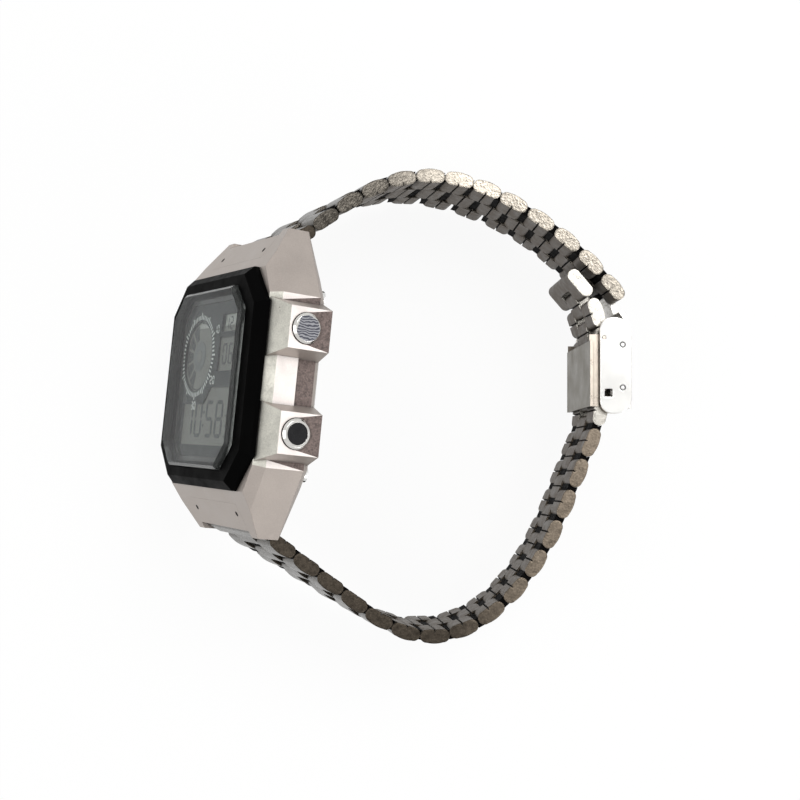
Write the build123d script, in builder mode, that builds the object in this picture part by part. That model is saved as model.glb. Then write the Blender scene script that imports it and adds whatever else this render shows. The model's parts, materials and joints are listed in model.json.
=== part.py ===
"""Digital watch lying on its 9 o'clock side, with its folded-link bracelet closed by a sliding clasp.

Millimetres, +Z up. The origin is the middle of the case back's outer face. The head leans back by
lean_angle, and the bracelet twists out of most of that lean along its length, down to clasp_lean_angle.
In the head's own plane x runs to 3 o'clock, y to 12 o'clock and z out of the dial.
"""
import os
from math import atan2, cos, radians, sin

from build123d import *

# Driving dimensions of the head
case_length = 45.0
case_thickness = 12.5
lean_angle = 27.5
clasp_lean_angle = 0.3

# Case
bezel_length = 32.0
bezel_width = 34.2
bezel_corner = 5.2
case_front_height = 9.6
case_back_height = 1.0
flank_width = 34.8
lug_tip_width = 22.4
lug_shoulder_length = 24.6
lug_front_tip_height = 5.3
lug_under_tip_height = 2.0
lug_under_start = 15.0
flank_front_bevel = 1.7
flank_back_bevel = 1.1
flank_strip_depth = 0.35
flank_strip_height = 2.9
flank_strip_bottom = 1.7
notch_depth = 4.6
notch_gap = 0.2
button_spacing = 14.6
guard_base_length = 8.4
guard_top_length = 5.9
guard_base_height = 8.3
guard_top_height = 6.3
guard_rise = 3.1
guard_bottom = 1.2
guard_bottom_step = 0.35
button_proud = 0.55
pocket_length = 27.8
pocket_width = 28.4
pocket_corner = 3.4
pocket_floor_height = 8.1
window_length = 23.2
window_width = 23.0
window_corner = 2.6

# Bezel and crystal
bezel_height = 1.9
bezel_bevel = 1.25
crystal_length = 26.4
crystal_width = 26.0
crystal_corner = 3.6
crystal_gap = 0.1
crystal_bevel = 0.45
crystal_gasket_thickness = 0.3
crystal_gasket_width = 0.9

# Display and module
mask_thickness = 0.3
mask_gap = 0.1
lcd_thickness = 0.9
lcd_end_gap = 1.7
lcd_side_gap = 1.2
guide_thickness = 0.6
guide_length = 2.0
dial_window_diameter = 10.8
dial_window_place_share = (-0.24, 0.16)
small_window_length = 2.6
small_window_width = 7.0
small_window_place_share = (0.28, 0.36)
middle_window_length = 5.0
middle_window_width = 7.4
middle_window_place_share = (0.27, 0.16)
time_window_length = 8.6
time_window_width = 19.6
time_window_step_length = 2.4
time_window_step_width = 8.0
time_window_place_share = (0.0, -0.24)
frame_gap = 0.2
frame_wall = 1.6
frame_lip = 0.6
board_thickness = 0.8
board_height = 4.9
board_gap = 0.15
chip_size = 6.0
chip_thickness = 0.9
crystal_can_diameter = 2.0
crystal_can_length = 6.0
battery_diameter = 20.0
battery_thickness = 2.5
battery_height = 2.0
battery_step_diameter = 17.2
battery_step = 0.35
clamp_width = 5.0
clamp_thickness = 0.2
buzzer_diameter = 15.0
buzzer_thickness = 0.25

# Case back
back_length = 29.6
back_width = 31.0
back_corner = 4.2
back_raised_length = 27.0
back_raised_width = 28.4
back_raised_corner = 4.6
back_edge_bevel = 0.35
back_gasket_width = 0.8
back_gasket_thickness = 0.35
screw_spacing_length = 25.4
screw_spacing_width = 26.8
screw_head_diameter = 2.4
screw_head_height = 0.5
screw_shank_diameter = 1.2
screw_shank_length = 2.6
screw_slot_width = 0.4
screw_slot_depth = 0.25
screw_boss_radius = 1.9
screw_gap = 0.03

# Buttons
button_diameter = 4.3
button_cap_length = 1.7
button_ring_width = 0.6
button_ring_step = 0.15
button_stem_diameter = 1.4
button_travel = 0.7
button_gap = 0.08
button_height = 5.3
button_edge = 0.3
spring_leaf_thickness = 0.2
spring_leaf_width = 1.6
spring_leaf_reach = 1.0
spring_foot_reach = 2.0

# Spring bars
bar_inset = 1.6
bar_height = 3.9
bar_diameter = 1.5
bar_tip_diameter = 0.9
bar_tip_length = 0.9
bar_gap = 0.06
bar_hole_spare = 0.1

# Bracelet of folded links
band_width = 18.0
band_pitch = 5.1
link_thickness = 2.0
link_crown = 0.16
link_seam_width = 0.3
link_seam_depth = 0.5
centre_link_width = 6.8
column_gap = 0.13
pin_diameter = 0.9
pin_gap = 0.15
pin_seat = 0.4
open_pin_proud = 0.1
open_column_gap = 1.2
end_column_gap = 0.25
end_pin_gap = 0.27
stake_size = 0.6
end_tube_diameter = 2.7
end_reach = 3.6
tail_end_reach = 2.9
row_gap = 0.35
end_row_gap = 0.6
clamped_row_count = 3
drape_length = 40.0
drape_steps = 24
lower_start_heading = -32.0
lower_headings = (-28, -29, -29, -29, -23, -9, 11, 30, 45, 56, 64, 70, 73, 73, 72)
clasp_heading = 95.0
tail_headings = (119,)
tail_end_heading = 136.0
upper_headings = (131, 137, 143, 150, 157, 165, 176, 188, 202, 213, 219, 221)
upper_end_heading = 215.0
upper_middle_heading = 178.0

# Clasp, placed along the band from its first clamped pin and outward from the line of pins
clasp_length = 14.8
clasp_start = 0.8
clasp_outer_corner = 2.5
clasp_inner_corner = 1.9
wall_thickness = 0.65
wall_gap = 0.45
wall_outer_rise = 4.8
wall_inner_drop = 0.1
floor_rise = 1.65
floor_thickness = 0.3
floor_inset = 0.7
blade_rise = 3.4
blade_thickness = 0.6
blade_width = 13.0
blade_length = 9.0
blade_knuckle_diameter = 1.24
blade_pin_diameter = 0.7
blade_pin_gap = 0.07
blade_pivot_place = 11.4
catch_pin_place = 4.8
catch_pin_reach = 1.2
cover_thickness = 0.7
cover_rise = 4.65
cover_width = 17.4
cover_ear_width = 1.5
cover_start = 1.7
cover_bend_place = 12.8
cover_arc_place = 15.1
cover_arc_rise = 4.3
cover_edge_place = 16.8
cover_edge_rise = 3.35
cover_tip_place = 19.5
cover_tip_rise = 3.0
cover_tongue_thickness = 0.9
plate_thickness = 0.4
plate_drop = 1.4
plate_start = 1.9
plate_pivot_place = 12.5
plate_pivot_rise = 0.55
plate_pivot_diameter = 0.5
plate_pivot_step = 0.5
plate_ear_radius = 0.5
plate_flange_height = 1.4
plate_flange_thickness = 0.25
plate_nib_width = 0.5
plate_nib_height = 0.17
lock_hole_size = 1.2
lock_hole_place = 4.0
lock_hole_rise = 1.2
side_play = 0.1

# Shares and cutting overruns
half = 0.5
overrun = 1.0
edge_tolerance = 0.1

os.makedirs("parts", exist_ok=True)

# Frame of the head
lean = radians(lean_angle)
three_oclock = Vector(sin(lean), 0, cos(lean))
dial_out = Vector(-cos(lean), 0, sin(lean))
back = Plane(origin=(0, 0, 0), x_dir=three_oclock, z_dir=dial_out)


def head_point(x, y, z):
    """A point of the head, from its own x to 3 o'clock, y to 12 o'clock and z out of the dial."""
    return back.from_local_coords(Vector(x, y, z))


def head_direction(x, y, z):
    """A direction of the head in the frame of the whole watch."""
    return three_oclock * x + Vector(0, 1, 0) * y + dial_out * z


def side_plane(side, y, z, reach):
    """A plane across a button, facing out of one side, whose x runs to 12 o'clock and y along z."""
    return Plane(
        origin=head_point(side * reach, y, z),
        x_dir=head_direction(0, side, 0),
        z_dir=head_direction(side, 0, 0),
    )


def octagon(width, length, corner, mode=Mode.ADD):
    """A rectangle with four cut corners, on the sketch plane in use."""
    x = width * half
    y = length * half
    return Polygon(
        (x - corner, y), (x, y - corner), (x, corner - y), (x - corner, -y),
        (corner - x, -y), (-x, corner - y), (-x, y - corner), (corner - x, y),
        align=None,
        mode=mode,
    )


# Case body
half_length = case_length * half
half_flank = flank_width * half
half_tip = lug_tip_width * half
half_shoulder = lug_shoulder_length * half
bar_y = half_length - bar_inset
notch_half_width = band_width * half + notch_gap
guard_reach = half_flank + guard_rise
button_y = button_spacing * half
lug_slope_start = bezel_length * half
lug_slope = atan2(case_front_height - lug_front_tip_height, half_length - lug_slope_start)
lug_under_slope = atan2(lug_under_tip_height - case_back_height, half_length - lug_under_start)
bar_hole_radius = bar_tip_diameter * half + bar_gap
screw_places = [
    (sx * screw_spacing_width * half, sy * screw_spacing_length * half)
    for sx in (-1, 1)
    for sy in (-1, 1)
]

with BuildPart() as case_body:
    with BuildSketch(back.offset(case_back_height)):
        with BuildLine():
            Polyline(
                (half_tip, half_length), (half_flank, half_shoulder), (half_flank, -half_shoulder),
                (half_tip, -half_length), (-half_tip, -half_length), (-half_flank, -half_shoulder),
                (-half_flank, half_shoulder), (-half_tip, half_length),
                close=True,
            )
        make_face()
    extrude(amount=case_front_height - case_back_height)
    front_edges = case_body.edges().filter_by(
        lambda e: abs(back.to_local_coords(e.center()).Z - case_front_height) < edge_tolerance
        and abs(back.to_local_coords(e.center()).X) > half_tip
    )
    chamfer(front_edges, length=flank_front_bevel, length2=flank_front_bevel * half)
    back_edges = case_body.edges().filter_by(
        lambda e: abs(back.to_local_coords(e.center()).Z - case_back_height) < edge_tolerance
        and abs(back.to_local_coords(e.center()).X) > half_tip
    )
    chamfer(back_edges, length=flank_back_bevel)
    for end in (-1, 1):
        split(
            bisect_by=Plane(
                origin=head_point(0, end * lug_slope_start, case_front_height),
                z_dir=head_direction(0, end * sin(lug_slope), cos(lug_slope)),
            ),
            keep=Keep.BOTTOM,
        )
        split(
            bisect_by=Plane(
                origin=head_point(0, end * lug_under_start, case_back_height),
                z_dir=head_direction(0, end * sin(lug_under_slope), -cos(lug_under_slope)),
            ),
            keep=Keep.BOTTOM,
        )
    for side in (-1, 1):
        strip_middle = flank_strip_bottom + flank_strip_height * half
        with BuildSketch(side_plane(side, 0, strip_middle, half_flank + overrun)):
            Rectangle(button_spacing, flank_strip_height)
        extrude(amount=-(overrun + flank_strip_depth), mode=Mode.SUBTRACT)
        for y in (-button_y, button_y):
            base_middle = guard_bottom + guard_base_height * half
            top_middle = guard_bottom + guard_bottom_step + guard_top_height * half
            with BuildSketch(side_plane(side, y, base_middle, half_flank - flank_front_bevel * half)):
                Rectangle(guard_base_length, guard_base_height)
            with BuildSketch(side_plane(side, y, top_middle, guard_reach)):
                Rectangle(guard_top_length, guard_top_height)
            loft(ruled=True)
    with BuildSketch(back.offset(case_back_height)):
        octagon(pocket_width, pocket_length, pocket_corner)
        with Locations(*screw_places):
            Circle(screw_boss_radius, mode=Mode.SUBTRACT)
    extrude(amount=pocket_floor_height - case_back_height, mode=Mode.SUBTRACT)
    with BuildSketch(back.offset(pocket_floor_height)):
        octagon(window_width, window_length, window_corner)
    extrude(amount=case_front_height, mode=Mode.SUBTRACT)
    for end in (-1, 1):
        with BuildSketch(back):
            with Locations((0, end * half_length)):
                Rectangle(notch_half_width * 2, notch_depth * 2)
        extrude(amount=case_front_height, mode=Mode.SUBTRACT)
        with BuildSketch(
            Plane(
                origin=head_point(-notch_half_width, end * bar_y, bar_height),
                x_dir=head_direction(0, 1, 0),
                z_dir=head_direction(1, 0, 0),
            ).offset(-bar_tip_length - bar_hole_spare)
        ):
            Circle(bar_hole_radius)
        extrude(amount=2 * (notch_half_width + bar_tip_length + bar_hole_spare), mode=Mode.SUBTRACT)
    for side in (-1, 1):
        for y in (-button_y, button_y):
            cap_depth = button_cap_length - button_proud + button_travel
            with BuildSketch(side_plane(side, y, button_height, guard_reach)):
                Circle(button_diameter * half + button_gap)
            extrude(amount=-cap_depth, mode=Mode.SUBTRACT)
            with BuildSketch(side_plane(side, y, button_height, guard_reach)):
                Circle(button_stem_diameter * half + button_gap)
            extrude(amount=pocket_width * half - guard_reach - overrun, mode=Mode.SUBTRACT)
    with BuildSketch(back.offset(case_back_height)):
        with Locations(*screw_places):
            Circle(screw_shank_diameter * half + screw_gap)
    extrude(amount=screw_shank_length - case_back_height + bar_hole_spare, mode=Mode.SUBTRACT)
case_body.part.label = "case_body"
export_step(case_body.part, "parts/case_body.step")

# Bezel ring
with BuildPart() as bezel:
    with BuildSketch(back.offset(case_front_height)):
        octagon(bezel_width, bezel_length, bezel_corner)
    extrude(amount=bezel_height)
    top_edges = bezel.faces().sort_by(Axis(origin=(0, 0, 0), direction=dial_out))[-1].edges()
    chamfer(top_edges, length=bezel_bevel)
    with BuildSketch(back.offset(case_front_height)):
        octagon(crystal_width + 2 * crystal_gap, crystal_length + 2 * crystal_gap, crystal_corner)
    extrude(amount=bezel_height, mode=Mode.SUBTRACT)
bezel.part.label = "bezel"
export_step(bezel.part, "parts/bezel.step")

# Crystal and its gasket
crystal_base = case_front_height + crystal_gasket_thickness
with BuildPart() as crystal:
    with BuildSketch(back.offset(crystal_base)):
        octagon(crystal_width, crystal_length, crystal_corner)
    extrude(amount=case_thickness - crystal_base)
    top_edges = crystal.faces().sort_by(Axis(origin=(0, 0, 0), direction=dial_out))[-1].edges()
    chamfer(top_edges, length=crystal_bevel)
crystal.part.label = "crystal"
export_step(crystal.part, "parts/crystal.step")

with BuildPart() as crystal_gasket:
    with BuildSketch(back.offset(case_front_height)):
        octagon(crystal_width, crystal_length, crystal_corner)
    extrude(amount=crystal_gasket_thickness)
    with BuildSketch(back.offset(case_front_height)):
        octagon(
            crystal_width - 2 * crystal_gasket_width,
            crystal_length - 2 * crystal_gasket_width,
            crystal_corner - crystal_gasket_width * half,
        )
    extrude(amount=crystal_gasket_thickness, mode=Mode.SUBTRACT)
crystal_gasket.part.label = "crystal_gasket"
export_step(crystal_gasket.part, "parts/crystal_gasket.step")

# Display mask with its round, small, middle and time windows
mask_top = case_front_height - mask_gap
mask_width = window_width - 2 * mask_gap
mask_length = window_length - 2 * mask_gap
lcd_base = pocket_floor_height
lcd_width = window_width - 2 * lcd_side_gap
lcd_length = window_length - 2 * lcd_end_gap
lcd_top = mask_top - mask_thickness
dial_place = (dial_window_place_share[0] * mask_width, dial_window_place_share[1] * mask_length)
small_place = (small_window_place_share[0] * mask_width, small_window_place_share[1] * mask_length)
middle_place = (middle_window_place_share[0] * mask_width, middle_window_place_share[1] * mask_length)
time_place = (time_window_place_share[0] * mask_width, time_window_place_share[1] * mask_length)
with BuildPart() as display_mask:
    with BuildSketch(back.offset(lcd_top)):
        octagon(mask_width, mask_length, window_corner - mask_gap)
        with Locations(dial_place):
            Circle(dial_window_diameter * half, mode=Mode.SUBTRACT)
        with Locations(small_place):
            Rectangle(small_window_width, small_window_length, mode=Mode.SUBTRACT)
        with Locations(middle_place):
            Rectangle(middle_window_width, middle_window_length, mode=Mode.SUBTRACT)
        time_x = time_window_width * half
        time_y = time_window_length * half
        with Locations(time_place):
            Polygon(
                (-time_x, -time_y), (time_x, -time_y), (time_x, time_y),
                (time_window_step_width - time_x + time_window_step_length, time_y),
                (time_window_step_width - time_x, time_y - time_window_step_length),
                (-time_x, time_y - time_window_step_length),
                align=None,
                mode=Mode.SUBTRACT,
            )
    extrude(amount=mask_thickness)
display_mask.part.label = "display_mask"
export_step(display_mask.part, "parts/display_mask.step")

# Liquid crystal panel under the mask, and the light guide along its upper edge
with BuildPart() as lcd_panel:
    with BuildSketch(back.offset(lcd_top - lcd_thickness)):
        with Locations((0, -guide_length * half)):
            Rectangle(lcd_width, lcd_length - guide_length)
    extrude(amount=lcd_thickness)
lcd_panel.part.label = "lcd_panel"
export_step(lcd_panel.part, "parts/lcd_panel.step")

with BuildPart() as light_guide:
    with BuildSketch(back.offset(lcd_top - lcd_thickness)):
        with Locations((0, (lcd_length - guide_length) * half + mask_gap * half)):
            Rectangle(lcd_width, guide_length - mask_gap)
    extrude(amount=guide_thickness)
light_guide.part.label = "light_guide"
export_step(light_guide.part, "parts/light_guide.step")

# Module frame, a tray that holds the display in front and the board behind
frame_width = pocket_width - 2 * frame_gap - 2 * button_travel
frame_length = pocket_length - 2 * frame_gap
frame_top = lcd_top - lcd_thickness
frame_corner = pocket_corner + screw_boss_radius * half
with BuildPart() as module_frame:
    with BuildSketch(back.offset(battery_height)):
        octagon(frame_width, frame_length, frame_corner)
    extrude(amount=pocket_floor_height - battery_height - frame_gap * half)
    with BuildSketch(back.offset(board_height + board_thickness + chip_thickness + board_gap)):
        octagon(lcd_width, lcd_length, frame_lip)
    extrude(amount=overrun + frame_top, mode=Mode.ADD)
    split(bisect_by=back.offset(frame_top), keep=Keep.BOTTOM)
    with BuildSketch(back.offset(battery_height)):
        octagon(frame_width - 2 * frame_wall, frame_length - 2 * frame_wall, frame_corner - frame_lip)
    extrude(
        amount=board_height + board_thickness + chip_thickness + board_gap - battery_height,
        mode=Mode.SUBTRACT,
    )
module_frame.part.label = "module_frame"
export_step(module_frame.part, "parts/module_frame.step")

# Circuit board with its chip under a cap, and the quartz can
board_width = frame_width - 2 * frame_wall - 2 * board_gap
board_length = frame_length - 2 * frame_wall - 2 * board_gap
with BuildPart() as circuit_board:
    with BuildSketch(back.offset(board_height)):
        octagon(board_width, board_length, frame_corner)
    extrude(amount=board_thickness)
    with BuildSketch(back.offset(board_height + board_thickness)):
        Rectangle(chip_size, chip_size)
        with Locations((board_width * half * half + chip_size * half * half, 0)):
            Rectangle(crystal_can_diameter, crystal_can_length)
    extrude(amount=chip_thickness)
circuit_board.part.label = "circuit_board"
export_step(circuit_board.part, "parts/circuit_board.step")

# Battery cell, its clamp strap and the buzzer plate on the case back
battery_top = battery_height + battery_thickness
with BuildPart() as battery_cell:
    with BuildSketch(back.offset(battery_height)):
        Circle(battery_diameter * half)
    extrude(amount=battery_thickness - battery_step)
    with BuildSketch(back.offset(battery_top - battery_step)):
        Circle(battery_step_diameter * half)
    extrude(amount=battery_step)
battery_cell.part.label = "battery_cell"
export_step(battery_cell.part, "parts/battery_cell.step")

with BuildPart() as battery_clamp:
    with BuildSketch(back.offset(battery_height - clamp_thickness)):
        Rectangle(clamp_width, frame_length - frame_wall)
    extrude(amount=clamp_thickness)
battery_clamp.part.label = "battery_clamp"
export_step(battery_clamp.part, "parts/battery_clamp.step")

with BuildPart() as buzzer_plate:
    with BuildSketch(back.offset(case_back_height)):
        Circle(buzzer_diameter * half)
    extrude(amount=buzzer_thickness)
buzzer_plate.part.label = "buzzer_plate"
export_step(buzzer_plate.part, "parts/buzzer_plate.step")

# Case back plate with its raised middle, its gasket and its four screws in the step round it
gasket_groove = back_gasket_thickness + mask_gap
with BuildPart() as case_back:
    with BuildSketch(back.offset(screw_head_height)):
        octagon(back_width, back_length, back_corner)
    extrude(amount=case_back_height - screw_head_height)
    with BuildSketch(back):
        octagon(back_raised_width, back_raised_length, back_raised_corner)
    extrude(amount=screw_head_height)
    low_edges = case_back.faces().sort_by(Axis(origin=(0, 0, 0), direction=dial_out))[0].edges()
    chamfer(low_edges, length=back_edge_bevel)
    with BuildSketch(back):
        with Locations(*screw_places):
            Circle(screw_shank_diameter * half + button_gap)
    extrude(amount=case_back_height, mode=Mode.SUBTRACT)
case_back.part.label = "case_back"
export_step(case_back.part, "parts/case_back.step")

with BuildPart() as case_back_gasket:
    with BuildSketch(back.offset(case_back_height)):
        octagon(pocket_width - mask_gap, pocket_length - mask_gap, pocket_corner)
        with Locations(*screw_places):
            Circle(screw_boss_radius + mask_gap, mode=Mode.SUBTRACT)
    extrude(amount=back_gasket_thickness)
    with BuildSketch(back.offset(case_back_height)):
        octagon(
            pocket_width - mask_gap - 2 * back_gasket_width,
            pocket_length - mask_gap - 2 * back_gasket_width,
            pocket_corner + screw_boss_radius * half,
        )
    extrude(amount=back_gasket_thickness, mode=Mode.SUBTRACT)
case_back_gasket.part.label = "case_back_gasket"
export_step(case_back_gasket.part, "parts/case_back_gasket.step")

with BuildPart() as case_back_screws:
    with BuildSketch(back):
        with Locations(*screw_places):
            Circle(screw_head_diameter * half)
    extrude(amount=screw_head_height)
    with BuildSketch(back):
        with Locations(*screw_places):
            Circle(screw_shank_diameter * half)
    extrude(amount=screw_shank_length)
    with BuildSketch(back):
        with Locations(*screw_places):
            Rectangle(screw_head_diameter, screw_slot_width)
    extrude(amount=screw_slot_depth, mode=Mode.SUBTRACT)
case_back_screws.part.label = "case_back_screws"
export_step(case_back_screws.part, "parts/case_back_screws.step")

# Push buttons, two on each side, the upper pair plain and the lower pair with a ring
frame_side = frame_width * half
stem_end = frame_side + spring_leaf_thickness + button_travel


def push_button(side, y, ringed):
    """A button cap in its guard, with its stem and the seal collar inside the case wall."""
    cap_base = guard_reach + button_proud - button_cap_length
    with BuildPart() as button:
        with BuildSketch(side_plane(side, y, button_height, cap_base)):
            Circle(button_diameter * half)
        extrude(amount=button_cap_length)
        rim = button.faces().sort_by(Axis(origin=(0, 0, 0), direction=three_oclock * side))[-1].edges()
        chamfer(rim, length=button_edge)
        if ringed:
            with BuildSketch(side_plane(side, y, button_height, guard_reach + button_proud)):
                Circle(button_diameter * half - button_ring_width)
            extrude(amount=-button_ring_step, mode=Mode.SUBTRACT)
        with BuildSketch(side_plane(side, y, button_height, cap_base)):
            Circle(button_stem_diameter * half)
        extrude(amount=stem_end - cap_base)
    return button


button_names = {
    "upper_right_button": (1, button_y, False),
    "lower_right_button": (1, -button_y, True),
    "upper_left_button": (-1, button_y, False),
    "lower_left_button": (-1, -button_y, True),
}
for button_name, (side, y, ringed) in button_names.items():
    push = push_button(side, y, ringed)
    push.part.label = button_name
    export_step(push.part, f"parts/{button_name}.step")

# Return springs, a bent leaf on the module frame behind each stem
with BuildPart() as button_springs:
    for side, y, ringed in button_names.values():
        leaf_plane = Plane(
            origin=head_point(side * frame_side, y, button_height - spring_leaf_width * half),
            x_dir=head_direction(side, 0, 0),
            z_dir=head_direction(0, 0, 1),
        )
        leaf = spring_leaf_thickness
        bow = leaf + button_travel
        bow_half = spring_leaf_reach * half
        with BuildSketch(leaf_plane):
            with BuildLine():
                Polyline(
                    (0, -spring_foot_reach), (leaf, -spring_foot_reach),
                    (leaf, -spring_leaf_reach), (bow, -bow_half),
                    (bow, bow_half), (button_travel, bow_half),
                    (button_travel, leaf - bow_half), (0, leaf - spring_leaf_reach),
                    close=True,
                )
            make_face()
        extrude(amount=spring_leaf_width)
button_springs.part.label = "button_springs"
export_step(button_springs.part, "parts/button_springs.step")


# Spring bars between the lug ears, their tips seated in the ears' holes
bar_body_half = notch_half_width - notch_gap * half
bar_tip_half = notch_half_width + bar_tip_length

for bar_name, end in {"spring_bar_6": -1, "spring_bar_12": 1}.items():
    across = Plane(
        origin=head_point(0, end * bar_y, bar_height),
        x_dir=head_direction(0, 1, 0),
        z_dir=head_direction(1, 0, 0),
    )
    with BuildPart() as bar:
        with BuildSketch(across.offset(-bar_body_half)):
            Circle(bar_diameter * half)
        extrude(amount=2 * bar_body_half)
        with BuildSketch(across.offset(-bar_tip_half)):
            Circle(bar_tip_diameter * half)
        extrude(amount=2 * bar_tip_half)
    bar.part.label = bar_name
    export_step(bar.part, f"parts/{bar_name}.step")


# The bracelet lies in a sheet that starts in the head's lean and turns more upright along its length
def lean_at(u):
    """The lean of the sheet at a distance u behind the spring bars."""
    return lean + (radians(clasp_lean_angle) - lean) * min(max(u, 0) / drape_length, 1)


def sheet_point(u, y):
    """The point of the sheet at a distance u behind the spring bars and y toward 12 o'clock."""
    start = head_point(0, 0, bar_height)
    x = start.X
    z = start.Z
    for step in range(drape_steps):
        a = lean_at(u * (step + half) / drape_steps)
        x += cos(a) * u / drape_steps
        z -= sin(a) * u / drape_steps
    return Vector(x, y, z)


def pin_direction(u):
    """The direction of the hinge pins at a distance u behind the spring bars."""
    return Vector(sin(lean_at(u)), 0, cos(lean_at(u)))


def link_plane(start, end, u_pin, flip=1):
    """The plane of a link from one pin to the next, whose outer side is along minus y."""
    origin = sheet_point(*start)
    along = (sheet_point(*end) - origin).normalized()
    across = pin_direction(u_pin)
    across = across - along * across.dot(along)
    return Plane(origin=origin, x_dir=along, z_dir=across * flip)


def step_from(start, heading, length):
    """The place in the sheet that lies one length away along a heading in degrees."""
    turn = radians(heading)
    return (start[0] + length * cos(turn), start[1] + length * sin(turn))


def pin_line(start, headings, before, after):
    """Pins half a pitch apart, where the outer and the centre link of each row share its curl."""
    quarter = half * half
    pins = [start]
    for row, heading in enumerate(headings):
        last = headings[row - 1] if row else before
        following = headings[row + 1] if row + 1 < len(headings) else after
        outer_heading = heading - (heading - last) * quarter
        centre_heading = heading + (following - heading) * quarter
        pins.append(step_from(pins[-1], outer_heading, band_pitch * half))
        pins.append(step_from(pins[-1], centre_heading, band_pitch * half))
    return pins


lower_start = step_from((0, -bar_y), lower_start_heading, end_reach)
clamped_headings = (clasp_heading,) * clamped_row_count
lower_pins = pin_line(
    lower_start,
    lower_headings + clamped_headings + tail_headings,
    lower_start_heading,
    tail_end_heading,
)
clasp_origin = lower_pins[2 * len(lower_headings)]


def clasp_place(s, v):
    """The place in the sheet at s along the clasp and v outward from its line of pins."""
    ahead = step_from(clasp_origin, clasp_heading, s)
    return step_from(ahead, clasp_heading - 90, v)


def upper_line(turn, gain):
    """The upper pins and the place where their end link meets its spring bar."""
    headings = tuple(
        upper_middle_heading + turn + gain * (heading - upper_middle_heading)
        for heading in upper_headings
    )
    last = upper_middle_heading + turn + gain * (upper_end_heading - upper_middle_heading)
    pins = pin_line(clasp_place(cover_tip_place, cover_tip_rise), headings, headings[0], last)
    return pins, step_from(pins[-1], last, end_reach)


# Newton steps find the turn and the gain of curl that bring the upper band to the 12 o'clock bar
upper_turn = 0.0
upper_gain = 1.0
small_turn = 0.01
newton_steps = 8
for step in range(newton_steps):
    u_miss, y_miss = upper_line(upper_turn, upper_gain)[1]
    u_turn, y_turn = upper_line(upper_turn + small_turn, upper_gain)[1]
    u_gain, y_gain = upper_line(upper_turn, upper_gain + small_turn)[1]
    u_by_turn = (u_turn - u_miss) / small_turn
    y_by_turn = (y_turn - y_miss) / small_turn
    u_by_gain = (u_gain - u_miss) / small_turn
    y_by_gain = (y_gain - y_miss) / small_turn
    y_miss -= bar_y
    scale = u_by_turn * y_by_gain - u_by_gain * y_by_turn
    upper_turn -= (u_miss * y_by_gain - u_by_gain * y_miss) / scale
    upper_gain -= (u_by_turn * y_miss - u_miss * y_by_turn) / scale
upper_pins, upper_end = upper_line(upper_turn, upper_gain)

# Sections of the links
link_radius = link_thickness * half
centre_half = centre_link_width * half
outer_start = centre_half + column_gap
outer_width = band_width * half - outer_start
pin_reach = outer_start + pin_seat
open_pin_reach = centre_half + open_pin_proud
pin_radius = pin_diameter * half
pin_bore_radius = pin_radius + pin_gap


def link_section(plane, bored):
    """A folded link seen from its side: two rolled ends, a crowned outer face and the seam inside."""
    reach = band_pitch * half
    middle = reach * half
    with BuildSketch(plane) as section:
        with BuildLine():
            ThreePointArc((0, link_radius), (-link_radius, 0), (0, -link_radius))
            ThreePointArc((0, -link_radius), (middle, -link_radius - link_crown), (reach, -link_radius))
            ThreePointArc((reach, -link_radius), (reach + link_radius, 0), (reach, link_radius))
            Polyline(
                (reach, link_radius),
                (middle + link_seam_width * half, link_radius),
                (middle, link_radius - link_seam_depth),
                (middle - link_seam_width * half, link_radius),
                (0, link_radius),
            )
        make_face()
        if bored:
            with Locations((reach, 0)):
                Circle(pin_bore_radius, mode=Mode.SUBTRACT)
    return section.sketch


def round_section(plane, radius):
    """A circle about the origin of a plane."""
    with BuildSketch(plane) as section:
        Circle(radius)
    return section.sketch


def square_section(plane, size):
    """A square about the origin of a plane."""
    with BuildSketch(plane) as section:
        Rectangle(size, size)
    return section.sketch


def link_row(pins, row, last=False):
    """One pitch of the bracelet: two outer links on their pin, and the centre link staked to them."""
    start, middle, end = pins[2 * row], pins[2 * row + 1], pins[2 * row + 2]
    outer_plane = link_plane(start, middle, middle[0])
    centre_plane = link_plane(middle, end, middle[0])
    with BuildPart() as links:
        for side in (-1, 1):
            extrude(
                to_extrude=link_section(outer_plane.offset(side * outer_start), False),
                amount=side * outer_width,
            )
        extrude(
            to_extrude=link_section(centre_plane.offset(-centre_half), not last), amount=centre_link_width
        )
        extrude(to_extrude=round_section(outer_plane.offset(-pin_reach), pin_radius), amount=2 * pin_reach)
        extrude(to_extrude=square_section(centre_plane.offset(-pin_reach), stake_size), amount=2 * pin_reach)
        if last:
            end_plane = Plane(
                origin=centre_plane.from_local_coords(Vector(band_pitch * half, 0, -open_pin_reach)),
                x_dir=centre_plane.x_dir,
                z_dir=centre_plane.z_dir,
            )
            extrude(to_extrude=round_section(end_plane, pin_radius), amount=2 * open_pin_reach)
    return links


# Rows of the lower band, from the 6 o'clock end to the clasp
for row in range(len(lower_headings)):
    links = link_row(lower_pins, row)
    row_name = f"lower_links_{row + 1:02d}"
    links.part.label = row_name
    export_step(links.part, f"parts/{row_name}.step")

# Rows of the upper band, from the clasp cover to the 12 o'clock end
for row in range(len(upper_headings)):
    links = link_row(upper_pins, row, last=row + 1 == len(upper_headings))
    row_name = f"upper_links_{row + 1:02d}"
    links.part.label = row_name
    export_step(links.part, f"parts/{row_name}.step")

# Rows held in the clasp, and the tail that runs on past it
with BuildPart() as clamped_links:
    for row in range(clamped_row_count):
        add(link_row(lower_pins, len(lower_headings) + row).part)
clamped_links.part.label = "clamped_links"
export_step(clamped_links.part, "parts/clamped_links.step")

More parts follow.
